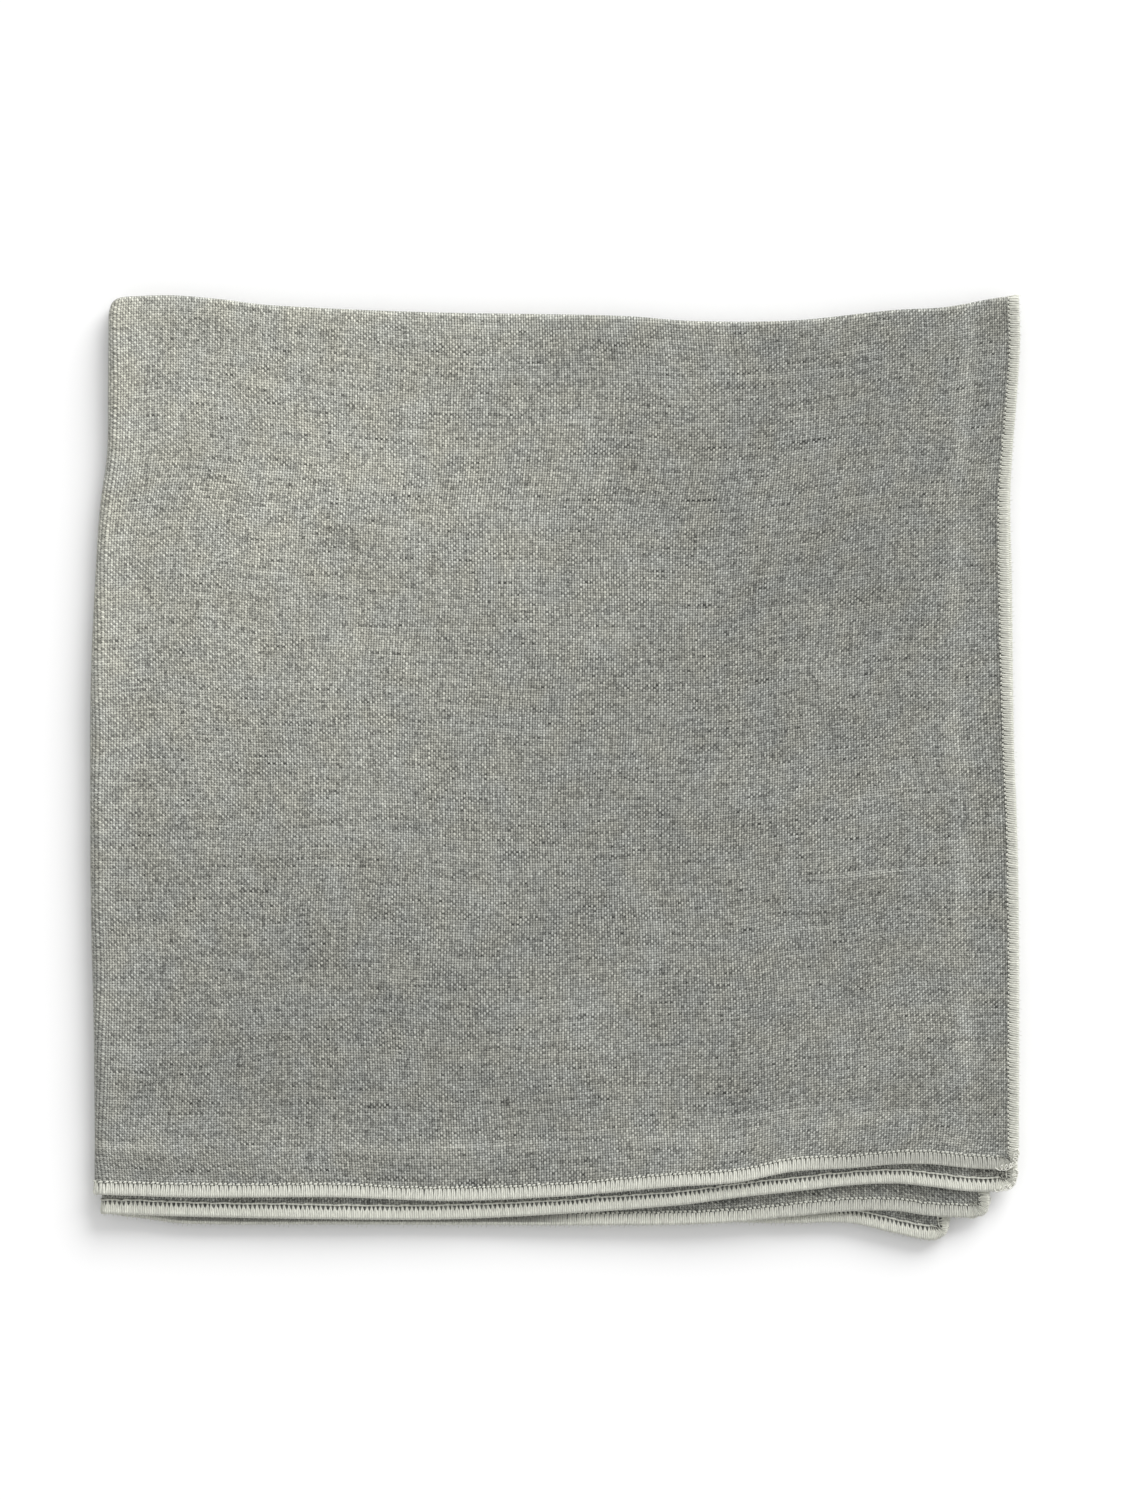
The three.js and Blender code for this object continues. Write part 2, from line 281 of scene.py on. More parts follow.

# Each row takes values between its first two numbers to values between its last two: the slant of
# upright threads from the left fold to the right edge, the linen's tones as shares of its middle
# colour, and the painted shade of a thread where it lies deep
WARP_SLANTS = (0.55, 0.95, 0.45, -0.45)
FLECKS = (0.25, 0.75, -0.46, 0.46)
LIGHT_SLUBS = (0.70, 0.82, 0.0, 0.22)
DARK_SLUBS = (0.18, 0.30, -0.24, 0.0)
FIBRE_TONES = (0.25, 0.75, -0.16, 0.16)
PATCH_TONES = (0.3, 0.7, 0.945, 1.055)
DEPTH_SHADES = (0.18, 0.74, 0.09, 1.43)
LEAST_TONE = 0.1
EVENING = 0.79

# Grain of noise over the linen, in a millimetre across and along, and the linen's two hues
FIBRE_GRAIN = (5.5, 4.0)
PATCH_GRAIN = (0.035, 0.035)
HUE_GRAIN = (0.11, 0.11)
HUE_SEED = 80.0
WARM = (1.01, 1.0, 0.975)
COOL = (0.99, 1.0, 1.02)
WEAVE_BUMP = 0.23
LINEN_SURFACE = {"Roughness": 0.85, "Specular IOR Level": 0.25, "Sheen Weight": 0.1, "Sheen Roughness": 0.5}

# Spun thread of the edging: filaments in a millimetre along and across it, their tones, and the
# tones of single stitches
FILAMENT_GRAIN = (9.0, 0.8)
FILAMENT_TONES = (0.3, 0.7, 0.76, 1.16)
STITCH_GRAIN = 0.8
STITCH_TONE_SEED = 3.0
STITCH_TONES = (0.3, 0.7, 0.92, 1.06)
FILAMENT_BUMP = 0.09
THREAD_SURFACE = {"Roughness": 0.7, "Specular IOR Level": 0.3, "Sheen Weight": 0.2}

# The stitches shade the linen that they cover, over shares of the edging's width
COVERED = {"full": 0.96, "none": 1.08, "shade": 0.5}

# Pressed creases of the linen catch the light, painted as a highlight, more in some stretches than
# in others: how far they lie from the left or the top fold
CREASE_GRAIN = 0.05
CREASE_STRETCHES = (0.25, 0.6)
CREASE_CORE = 0.3
CREASES = table(("along_axis", "at", "half_width", "gain"), [
    (1, 216.0, 3.0, 0.26),
    (0, 210.6, 2.2, 0.28),
])

# Painted light: the linen is lighter along the left fold and the top fold
FOLD_PAINTED_LIGHT = {"left_reach": 14.0, "left_gain": 0.25, "top_reach": 6.0, "top_gain": 0.24}

# Slubs, a snag and knots of the top layer: how far in from the left fold and down from the top
# fold, half their width and height, all in millimetres, and how much they lighten the linen
LINEN_MARKS = [
    (98.5, 210.4, 16.0, 0.55, 0.45),
    (168.0, 206.5, 15.0, 0.55, 0.40),
    (201.0, 209.2, 14.5, 0.55, 0.45),
    (94.7, 12.9, 4.5, 0.4, 0.40),
    (173.5, 14.5, 26.0, 0.55, 0.30),
    (164.8, 209.6, 0.9, 0.6, 0.80),
    (115.4, 29.0, 0.4, 2.6, 0.55),
    (117.0, 27.0, 1.6, 0.4, 0.50),
    (187.0, 10.5, 6.0, 0.55, 0.55),
    (179.0, 25.7, 9.0, 0.55, 0.35),
    (151.0, 45.8, 5.5, 0.4, -0.35),
    (150.0, 32.6, 8.0, 0.5, -0.28),
    (179.0, 32.8, 7.0, 0.5, -0.28),
    (160.0, 3.5, 1.8, 1.1, -0.30),
    (152.0, 160.1, 11.0, 0.55, 0.45),
    (176.0, 159.1, 11.0, 0.55, 0.50),
    (151.5, 146.6, 8.0, 0.55, 0.35),
    (195.0, 146.1, 19.0, 0.55, 0.42),
    (193.0, 126.3, 5.5, 0.55, 0.40),
    (182.2, 173.7, 0.9, 0.9, 0.60),
    (213.0, 138.0, 1.0, 0.7, -0.45),
]
MARK_STRENGTH = 1.9
MARK_CORE = 0.55

# The stage, in metres: the camera hangs straight over the middle of the picture
CAMERA_OVER = (2.1 * MM, 4.5 * MM)
FOCUS_HEIGHT = 6 * MM
FLOOR_SIZE = 12
FLOOR_ROUGHNESS = 0.9
KEY_PLACE = (0.54, 0.85, 0.43)
CORNER_PLACE = (-0.1, 0.1, 0.35)
CORNER_CONE = math.radians(48)
CORNER_SOFTNESS = 0.05
CORNER_COLOUR = (1.0, 0.97, 0.88)


def mm_length(name, description, size):
    """A length that a user can change, given in millimetres."""
    return bpy.props.FloatProperty(name=name, description=description, default=size * MM, unit="LENGTH")


class TowelSizes(bpy.types.PropertyGroup):
    """Sizes of the cloth and its sewing."""

    upper_width: mm_length("Upper width", "Flat width of the layers over the left fold", 230)
    under_width: mm_length("Under width", "Flat width of the layers under the left fold", 220)
    face_up_length: mm_length("Face-up length", "Flat length of layers 1 and 4 below the top fold", 223.5)
    face_down_length: mm_length("Face-down length", "Flat length of layers 2 and 3 below the top fold", 226.5)
    cloth_thickness: mm_length("Cloth thickness", "Thickness of the linen", 0.6)
    layer_pitch: mm_length("Layer pitch", "Height from the middle of one layer to the next", 1.8)
    edging_width: mm_length("Edging width", "Width of the overlock from its lip to the needle line", 3.4)
    edging_thickness: mm_length("Edging thickness", "Thickness of the overlock with its threads", 1.0)
    stitch_length: mm_length("Stitch length", "Length of one overlock stitch along the edge", 1.13)
    thread_radius: mm_length("Thread radius", "Radius of the overlock thread", 0.17)
    warp_pitch: mm_length("Warp pitch", "Distance between upright threads of the weave", 0.667)
    weft_pitch: mm_length("Weft pitch", "Distance between level threads of the weave", 0.61)


class TowelFinish(bpy.types.PropertyGroup):
    """Colours of the linen and its thread."""

    linen_colour: bpy.props.FloatVectorProperty(
        name="Linen", description="Middle colour of the undyed linen",
        default=(0.257, 0.260, 0.236), subtype="COLOR")
    thread_colour: bpy.props.FloatVectorProperty(
        name="Thread", description="Colour of the overlock thread",
        default=(0.650, 0.652, 0.580), subtype="COLOR")


class StageLook(bpy.types.PropertyGroup):
    """Floor, light and camera."""

    floor_colour: bpy.props.FloatVectorProperty(
        name="Floor", description="Colour of the pale floor",
        default=(0.95, 0.95, 0.95), subtype="COLOR")
    camera_height: mm_length("Camera height", "Height of the camera over the towel", 1500)
    view_length: mm_length("View length", "Length of the floor that the picture takes in", 377.8)
    key_strength: bpy.props.FloatProperty(
        name="Key light", description="Strength of the soft light from beyond the top fold",
        default=3.55)
    key_softness: bpy.props.FloatProperty(
        name="Key softness", description="Width of the key light as seen from the towel",
        default=math.radians(48), subtype="ANGLE")
    corner_power: bpy.props.FloatProperty(
        name="Corner light", description="Power of the small light over the towel's top left corner",
        default=2.75, unit="POWER")
    sky_strength: bpy.props.FloatProperty(
        name="Sky", description="Strength of the even light from all round", default=0.68)


def ease(share):
    """Eases from 0 to 1 with flat ends."""
    s = np.clip(share, 0, 1)
    return s * s * (3 - 2 * s)


def read_table(rows, along, value, place):
    """Smooth curve through one column of a table, read at places along another column."""
    knots = np.array([row[along] for row in rows], float)
    values = np.array([row[value] for row in rows], float)
    if knots[0] > knots[-1]:
        knots, values = knots[::-1], values[::-1]
    last = len(rows) - 1
    after = np.minimum(np.arange(len(rows)) + 1, last)
    before = np.maximum(np.arange(len(rows)) - 1, 0)
    slopes = (values[after] - values[before]) / (knots[after] - knots[before])
    row = np.clip(np.searchsorted(knots, place) - 1, 0, last - 1)
    span = knots[row + 1] - knots[row]
    t = np.clip((place - knots[row]) / span, 0, 1)
    rise = values[row + 1] - values[row]
    start = slopes[row] * span
    end = slopes[row + 1] * span
    return values[row] + t * (start + t * (3 * rise - 2 * start - end + t * (start + end - 2 * rise)))


def round_corner(a, b):
    """Pulls the corner of a unit square in, so that its outline is rounded."""
    near = (a > 0) & (b > 0)
    rounded_a = a * np.sqrt(1 - CORNER_STRENGTH * np.clip(b, 0, 1) ** 2 / 2)
    rounded_b = b * np.sqrt(1 - CORNER_STRENGTH * np.clip(a, 0, 1) ** 2 / 2)
    return np.where(near, rounded_a, a), np.where(near, rounded_b, b)


def follow_fold(distance, radius, outer, height):
    """Distance in from a fold's outermost line, and height off the middle of what it turns."""
    turn = np.clip(distance / radius, -math.pi / 2, math.pi / 2)
    straight = np.abs(distance) - np.abs(turn) * radius
    return outer - (radius + height) * np.cos(turn) + straight, (radius + height) * np.sin(turn)


class FoldedShape:
    """Where each point of the flat towel lies once it is folded, in millimetres."""

    def __init__(self, sizes):
        self.upper_width = sizes.upper_width / MM
        self.under_width = sizes.under_width / MM
        self.face_up_length = sizes.face_up_length / MM
        self.face_down_length = sizes.face_down_length / MM
        self.half_cloth = sizes.cloth_thickness / MM / 2
        self.top_radius = sizes.layer_pitch / MM / 2
        self.left_radius = sizes.layer_pitch / MM
        self.edging_width = sizes.edging_width / MM
        self.pitch = sizes.layer_pitch / MM
        self.edge_rise = (sizes.edging_thickness / 2 + sizes.thread_radius) / MM - self.half_cloth

    def widths(self, across):
        return np.where(across > 0, self.upper_width, self.under_width)

    def lengths(self, along):
        return np.where(along > 0, self.face_up_length, self.face_down_length)

    def to_edge(self, across, along):
        """Distance from points of the flat towel to its nearest raw edge."""
        return np.minimum(self.widths(across) - np.abs(across), self.lengths(along) - np.abs(along))

    def round_free_corners(self, across, along):
        """Rounds the four free corners of the flat towel."""
        width = self.widths(across)
        length = self.lengths(along)
        a, b = round_corner((np.abs(across) - width) / CORNER_ROUNDING + 1,
                            (np.abs(along) - length) / CORNER_ROUNDING + 1)
        return (np.sign(across) * (width + (a - 1) * CORNER_ROUNDING),
                np.sign(along) * (length + (b - 1) * CORNER_ROUNDING))

    def height_share(self, x, y):
        """Height of the pile at a place, as a share of its plain height."""
        from_fold = np.minimum(x - LEFT_LEVEL, TOP_LEVEL - y)
        puff = FOLD_PUFF * np.exp(-from_fold / FOLD_PUFF_REACH)
        phase = 2 * math.pi * (x * SWELL_SLANT + y) / SWELL_LENGTH
        swell = SWELL * np.sin(phase) * np.cos(x / SWELL_LENGTH)
        sag = SAG * ease((x - SAG_START) / (SAG_END - SAG_START))
        share = 1 + puff + np.maximum(swell, 0) + sag
        share = share + HOLLOW["share"] * np.exp(-((y - HOLLOW["y"]) / HOLLOW["reach"]) ** 2)
        for ripple in RIPPLES:
            turn = math.radians(ripple["turn"])
            way = (x * math.cos(turn) + y * math.sin(turn)) * 2 * math.pi / ripple["length"]
            share = share + ripple["share"] * np.sin(way + ripple["start"])
        return share

    def edge_settling(self, x, y, plain):
        """How far each layer moves up where the pile closes up and lifts beside its lower edges."""
        third = read_table(LOWER_EDGES, "x", "third_below", x)
        fourth = read_table(LOWER_EDGES, "x", "fourth_below", x)
        level = plain / self.pitch
        drop = 0.0
        for below, bare in enumerate((fourth - third, third, FACE_UP_FOOT - FACE_DOWN_FOOT)):
            clear = ease((bare - LIP_CLEAR["start"]) / LIP_CLEAR["reach"])
            closing = LIP_CLOSING + (CLOTH_CLOSING - LIP_CLOSING) * clear
            drop = drop + closing * np.clip(level - below, 0, 1)
        to_right = ease((x - LOWER_LIFT["start"]) / LOWER_LIFT["reach"])
        lift = LOWER_LIFT["left"] + (LOWER_LIFT["right"] - LOWER_LIFT["left"]) * to_right
        from_lip = y - read_table(LOWER_EDGES, "x", "first", x)
        return (lift - drop) * ease(1 - from_lip / SETTLE_REACH)

    def middle(self, flat_across, flat_along):
        """Middle of the cloth where points of the flat towel lie once folded."""
        across, along = self.round_free_corners(flat_across, flat_along)
        upper = across > 0
        face_up = along > 0
        top_outer = self.top_radius + self.half_cloth
        left_outer = self.left_radius + top_outer
        top_in, top_height = follow_fold(along, self.top_radius, top_outer, 0)
        left_in, left_height = follow_fold(across, self.left_radius, left_outer, top_height)
        whole_down = top_outer + self.lengths(along) - self.top_radius * math.pi / 2
        whole_right = left_outer + self.widths(across) - self.left_radius * math.pi / 2
        down = np.maximum(0, (top_in - top_outer) / (whole_down - top_outer))
        right = np.maximum(0, (left_in - left_outer) / (whole_right - left_outer))
        a, b = round_corner(1 - left_in / CORNER_ROUNDING, 1 - top_in / CORNER_ROUNDING)
        in_x = (1 - a) * CORNER_ROUNDING
        in_y = (1 - b) * CORNER_ROUNDING

        level = TOP_LEVEL + (np.where(face_up, FACE_UP_FOOT, FACE_DOWN_FOOT) - TOP_LEVEL) * down
        left_x = read_table(LEFT_FOLD, "y", "x", level)
        first_x = read_table(RIGHT_EDGE, "y", "x", level)
        second_x = first_x + read_table(RIGHT_EDGE, "y", "second", level)
        under_x = UNDER_RIGHT_X + np.where(face_up, -FOURTH_RETREAT, THIRD_REACH) * down
        right_x = np.where(upper, np.where(face_up, first_x, second_x), under_x)
        x = left_x + in_x + (right_x - left_x - whole_right) * right

        top_y = read_table(TOP_FOLD, "x", "y", x) - np.where(upper, 0, UNDER_TOP_DROP * right)
        upper_y = np.where(face_up, read_table(LOWER_EDGES, "x", "first", x),
                           read_table(LOWER_EDGES, "x", "second", x))
        below = np.where(face_up, read_table(LOWER_EDGES, "x", "fourth_below", x),
                         read_table(LOWER_EDGES, "x", "third_below", x))
        near = ease(right * self.under_width / CORNER_ROUNDING)
        lower_y = upper_y - np.where(upper, 0, near * below)
        y = top_y - in_y - (top_y - lower_y - whole_down) * down

        plain = self.left_radius + self.top_radius + left_height
        to_edge = self.to_edge(across, along)
        rise = self.edge_rise * ease(1 - (to_edge - self.edging_width) / EDGE_RISE_LENGTH)
        rise = rise + LIP_CURL * ease(1 - to_edge / self.edging_width)
        z = self.half_cloth + plain * self.height_share(x, y) + rise + self.edge_settling(x, y, plain)
        return np.stack([x, y, z], axis=-1)

    def place(self, across, along, height):
        """Points off the middle of the cloth, towards its right side by some height."""
        step = 0.01
        by_across = self.middle(across + step, along) - self.middle(across - step, along)
        by_along = self.middle(across, along + step) - self.middle(across, along - step)
        off = np.cross(by_along, by_across)
        off /= np.linalg.norm(off, axis=-1, keepdims=True)
        return self.middle(across, along) + off * np.asarray(height)[..., None]


def stations(under_end, upper_end, radius):
    """Places from one raw edge over the fold to the other, close together at folds and corners."""
    arc = radius * math.pi / 2
    fold_steps, rounded_steps, field_steps = 14, 6, 84

    def side(end):
        return np.concatenate([
            np.linspace(arc, CORNER_ROUNDING, rounded_steps + 1)[1:],
            np.linspace(CORNER_ROUNDING, end - CORNER_ROUNDING, field_steps + 1)[1:],
            np.linspace(end - CORNER_ROUNDING, end - RAW_EDGE_INSET, rounded_steps + 1)[1:],
        ])

    fold = np.linspace(-arc, arc, fold_steps + 1)
    return np.concatenate([-side(under_end)[::-1], fold, side(upper_end)])


def deselect_all():
    """Leaves nothing selected, and object mode on."""
    if bpy.context.mode != "OBJECT":
        bpy.ops.object.mode_set(mode="OBJECT")
    bpy.ops.object.select_all(action="DESELECT")


def apply_modifier(piece, kind, **settings):
    """Adds one modifier to a piece with its settings, and applies it."""
    bpy.context.view_layer.objects.active = piece
    bpy.ops.object.modifier_add(type=kind)
    modifier = piece.modifiers[-1]
    for name, value in settings.items():
        setattr(modifier, name, value)
    bpy.ops.object.modifier_apply(modifier=modifier.name)


def thread_wander(across, along, freedom):
    """How far the threads stray from straight lines, in millimetres each way."""
    sideways = sum(high * np.sin(along / main + across / other + start)
                   for high, main, other, start in SIDEWAYS_WAVES)
    lengthways = sum(high * np.sin(across / main + along / other + start)
                     for high, main, other, start in LENGTHWAYS_WAVES)
    return sideways * freedom, lengthways * freedom


def write_uv(mesh, name, u, v):
    """Gives every face corner its vertex's place on the flat towel, as a UV map."""
    layer = mesh.uv_layers.get(name) or mesh.uv_layers.new(name=name)
    corner = np.empty(len(mesh.loops), int)
    mesh.loops.foreach_get("vertex_index", corner)
    layer.data.foreach_set("uv", np.stack([u[corner], v[corner]], axis=-1).ravel())
    mesh.uv_layers.active = layer


class Recipe:
    """One material's nodes, with a short call for each kind of node."""

    def __init__(self, name):
        self.material = bpy.data.materials.new(name)
        self.material.use_nodes = True
        self.tree = self.material.node_tree
        self.shader = self.tree.nodes["Principled BSDF"]

    def feed(self, socket, value):
        if isinstance(value, bpy.types.NodeSocket):
            self.tree.links.new(value, socket)
        else:
            socket.default_value = value

    def math(self, operation, *values):
        node = self.tree.nodes.new("ShaderNodeMath")
        node.operation = operation
        for socket, value in zip(node.inputs, values):
            self.feed(socket, value)
        return node.outputs[0]

    def vector(self, x, y=0.0, z=0.0):
        node = self.tree.nodes.new("ShaderNodeCombineXYZ")
        for socket, value in zip(node.inputs, (x, y, z)):
            self.feed(socket, value)
        return node.outputs[0]

    def noise(self, x, y, detail=0.0):
        """Smooth noise over a plane with a grain of about 1 unit, from 0 to 1."""
        node = self.tree.nodes.new("ShaderNodeTexNoise")
        node.noise_dimensions = "2D"
        node.inputs["Scale"].default_value = 1.0
        node.inputs["Detail"].default_value = detail
        self.feed(node.inputs["Vector"], self.vector(x, y))
        return node.outputs["Fac"]

    def spread(self, value, low, high, to_low=0.0, to_high=1.0):
        """Stretches one range of values to another, and keeps to its ends."""
        node = self.tree.nodes.new("ShaderNodeMapRange")
        self.feed(node.inputs["Value"], value)
        for name, level in (("From Min", low), ("From Max", high), ("To Min", to_low), ("To Max", to_high)):
            self.feed(node.inputs[name], level)
        return node.outputs[0]

    def tint(self, colour, factor):
        """A colour times a factor."""
        node = self.tree.nodes.new("ShaderNodeVectorMath")
        node.operation = "SCALE"
        self.feed(node.inputs[0], colour)
        self.feed(node.inputs["Scale"], factor)
        return node.outputs[0]

    def mix(self, factor, first, second):
        node = self.tree.nodes.new("ShaderNodeMix")
        node.data_type = "RGBA"
        self.feed(node.inputs["Factor"], factor)
        self.feed(node.inputs["A"], first)
        self.feed(node.inputs["B"], second)
        return node.outputs["Result"]

    def uv(self, name):
        node = self.tree.nodes.new("ShaderNodeUVMap")
        node.uv_map = name
        split = self.tree.nodes.new("ShaderNodeSeparateXYZ")
        self.tree.links.new(node.outputs[0], split.inputs[0])
        return split.outputs[0], split.outputs[1]

    def surface(self, values):
        """Sets how rough, glossy and soft the surface is."""
        for name, value in values.items():
            self.shader.inputs[name].default_value = value

    def bump(self, height, distance):
        node = self.tree.nodes.new("ShaderNodeBump")
        node.inputs["Distance"].default_value = distance
        self.feed(node.inputs["Height"], height)
        self.tree.links.new(node.outputs["Normal"], self.shader.inputs["Normal"])


class Weave:
    """The nodes that work out one set of parallel threads."""

    def __init__(self, recipe, over, run, pitch, seed):
        self.recipe = recipe
        self.run = run
        self.seed = seed
        m = recipe.math
        crowd = recipe.noise(m("MULTIPLY_ADD", over, CROWDING["grain"], seed), seed, detail=1.0)
        place = m("MULTIPLY_ADD", crowd, CROWDING["shift"], m("DIVIDE", over, pitch / MM))
        self.number = m("FLOOR", place)
        self.offset = m("SUBTRACT", m("SUBTRACT", place, self.number), 0.5)
        self.arch = m("COSINE", m("MULTIPLY", self.offset, math.pi))

    def along_thread(self, step, grain, seed, detail):
        """Noise that changes from thread to thread, and slowly along each one."""
        m = self.recipe.math
        own = m("MULTIPLY_ADD", self.number, step, self.seed + seed)
        return self.recipe.noise(own, m("MULTIPLY", self.run, grain), detail=detail)

    def section(self, half, offset=None):
        """Height of the thread's round section, for its half width."""
        m = self.recipe.math
        ratio = m("DIVIDE", self.offset if offset is None else offset, half)
        return m("SQRT", m("MAXIMUM", m("SUBTRACT", 1.0, m("MULTIPLY", ratio, ratio)), 0.0))


def covered_shade(recipe, sizes, across, along):
    """Darkens the linen under the edging, where the stitches keep the light off it."""
    m = recipe.math
    room = []
    for place, low, high in ((across, sizes.under_width, sizes.upper_width),
                             (along, sizes.face_down_length, sizes.face_up_length)):
        off_middle = m("ABSOLUTE", m("SUBTRACT", place, (high - low) / MM / 2))
        room.append(m("SUBTRACT", (high + low) / MM / 2, off_middle))
    room[0] = m("DIVIDE", room[0], RIGHT_WIDTH_SHARE)
    width = sizes.edging_width / MM
    return recipe.spread(m("MINIMUM", *room), width * COVERED["full"], width * COVERED["none"],
                         COVERED["shade"], 1.0)


def linen_marks(recipe, across, along):
    """Slubs, a snag and knots, each at its own place."""
    m = recipe.math
    total = 0.0
    for from_left, from_top, half_width, half_height, gain in LINEN_MARKS:
        x = m("DIVIDE", m("SUBTRACT", across, from_left), half_width)
        y = m("DIVIDE", m("SUBTRACT", along, from_top), half_height)
        out = m("ADD", m("MULTIPLY", x, x), m("MULTIPLY", y, y))
        total = m("ADD", total, recipe.spread(out, 1.0, MARK_CORE, 0.0, MARK_STRENGTH * gain))
    return total


def fold_and_crease_gain(recipe, across, along):
    """Paints light on the linen along its folds, and highlights along its pressed creases."""
    m = recipe.math
    fold_light = FOLD_PAINTED_LIGHT
    left = recipe.spread(m("ABSOLUTE", across), 0.0, fold_light["left_reach"], fold_light["left_gain"], 0.0)
    top = recipe.spread(m("ABSOLUTE", along), 0.0, fold_light["top_reach"], fold_light["top_gain"], 0.0)
    total = m("ADD", left, top)
    for crease in CREASES:
        place, run = (across, along) if crease["along_axis"] == 1 else (along, across)
        stretch = recipe.noise(m("MULTIPLY", run, CREASE_GRAIN), crease["at"])
        strength = recipe.spread(stretch, *CREASE_STRETCHES)
        off = m("ABSOLUTE", m("SUBTRACT", place, crease["at"]))
        half = crease["half_width"]
        gain = recipe.spread(off, CREASE_CORE * half, half, crease["gain"], 0.0)
        total = m("MULTIPLY_ADD", gain, strength, total)
    return total


def linen_material(sizes, finish):
    """Undyed plain-weave linen: threads of uneven tone and width that pass over and under."""
    recipe = Recipe("linen")
    m = recipe.math
    u, v = recipe.uv("flat_towel")
    across = m("MULTIPLY_ADD", u, (sizes.under_width + sizes.upper_width) / MM, -sizes.under_width / MM)
    along = m("MULTIPLY_ADD", v, (sizes.face_down_length + sizes.face_up_length) / MM,
              -sizes.face_down_length / MM)
    warp = Weave(recipe, across, along, sizes.warp_pitch, WARP["seed"])
    weft = Weave(recipe, along, across, sizes.weft_pitch, WEFT["seed"])
    parity = m("FLOORED_MODULO", m("ADD", warp.number, weft.number), 2.0)
    over = m("MULTIPLY_ADD", parity, 2.0, -1.0)
    warp_arch = m("MULTIPLY", over, weft.arch)
    weft_arch = m("MULTIPLY", over, m("SQRT", m("MAXIMUM", warp.arch, 0.0)))
    warp_wave = m("MULTIPLY_ADD", warp_arch, WARP["bend"], WARP["rise"])
    weft_wave = m("MULTIPLY_ADD", weft_arch, WEFT["bend"], WEFT["rise"])

    def raised(threads, wave, half, offset=None):
        return m("MULTIPLY_ADD", threads.section(half, offset), ROUNDNESS, wave)

    def half_width(threads, kind):
        return recipe.spread(threads.along_thread(*WIDTH_NOISE), *WIDTH_SPAN, kind["narrow"], kind["wide"])

    def toned(threads, reach):
        slow = recipe.spread(threads.along_thread(*SLOW_NOISE), *SLOW_SPAN, -reach, reach)
        fleck = recipe.spread(threads.along_thread(*FLECK_NOISE), *FLECKS)
        slub = threads.along_thread(*SLUB_NOISE)
        light = recipe.spread(slub, *LIGHT_SLUBS)
        dark = recipe.spread(slub, *DARK_SLUBS)
        return m("ADD", m("ADD", slow, fleck), m("ADD", light, dark))

    warp_half = half_width(warp, WARP)
    weft_half = half_width(weft, WEFT)
    lean = m("MULTIPLY", recipe.spread(u, *WARP_SLANTS), weft.offset)
    warp_height = raised(warp, warp_wave, warp_half, m("SUBTRACT", warp.offset, lean))
    weft_height = raised(weft, weft_wave, weft_half)
    height = m("MAXIMUM", warp_height, weft_height)
    warp_shows = m("GREATER_THAN", warp_height, weft_height)
    weft_tone = m("ADD", toned(weft, WEFT["tone"]), linen_marks(recipe, across, along))
    tone = m("ADD", m("MULTIPLY", warp_shows, toned(warp, WARP["tone"])),
             m("MULTIPLY", m("SUBTRACT", 1.0, warp_shows), weft_tone))
    # Painted shade where a thread lies deep, times the painted light on upright or level threads
    shade = m("MULTIPLY", recipe.spread(height, *DEPTH_SHADES),
              m("MULTIPLY_ADD", warp_shows, WARP["shine"] - WEFT["shine"], WEFT["shine"]))

    def grainy(grain, detail, seed=0.0):
        return recipe.noise(m("MULTIPLY_ADD", across, grain[0], seed), m("MULTIPLY", along, grain[1]), detail)

    tone = m("ADD", tone, recipe.spread(grainy(FIBRE_GRAIN, 1.0), *FIBRE_TONES))
    # Painted light along the folds, and painted highlights along the creases
    tone = m("ADD", tone, fold_and_crease_gain(recipe, across, along))
    thread_bright = m("MULTIPLY", shade, m("MAXIMUM", m("ADD", 1.0, tone), LEAST_TONE))
    bright = m("MULTIPLY", m("POWER", thread_bright, EVENING),
               recipe.spread(grainy(PATCH_GRAIN, 2.0), *PATCH_TONES))
    warm, cool = ((*(c * k for c, k in zip(finish.linen_colour, hue)), 1.0) for hue in (WARM, COOL))
    colour = recipe.mix(recipe.spread(grainy(HUE_GRAIN, 1.0, HUE_SEED), *HUE_SPAN), warm, cool)
    bright = m("MULTIPLY", bright, covered_shade(recipe, sizes, across, along))
    recipe.feed(recipe.shader.inputs["Base Color"], recipe.tint(colour, bright))
    recipe.surface(LINEN_SURFACE)
    even = m("MAXIMUM", raised(warp, warp_wave, WARP["bump_half"]),
             raised(weft, weft_wave, WEFT["bump_half"]))
    recipe.bump(even, WEAVE_BUMP * MM)
    return recipe.material


def hidden_band_shade(recipe, u, off_lip):
    """Darkens the band behind the lip where another layer lies over it."""
    m = recipe.math
    band = HIDDEN_BAND
    inside = m("SUBTRACT", u, RUN_STEP * band["run"])
    begins = recipe.spread(inside, band["start"], band["start"] + band["fade"])
    ends = recipe.spread(inside, band["end"] - band["fade"], band["end"], 1.0, 0.0)
    lip = HIDDEN_BAND_LIP["start"]
    behind = recipe.spread(off_lip, lip, lip + HIDDEN_BAND_LIP["reach"], 0.0, band["shade"] - 1)
    return m("MULTIPLY_ADD", behind, m("MULTIPLY", begins, ends), 1.0)


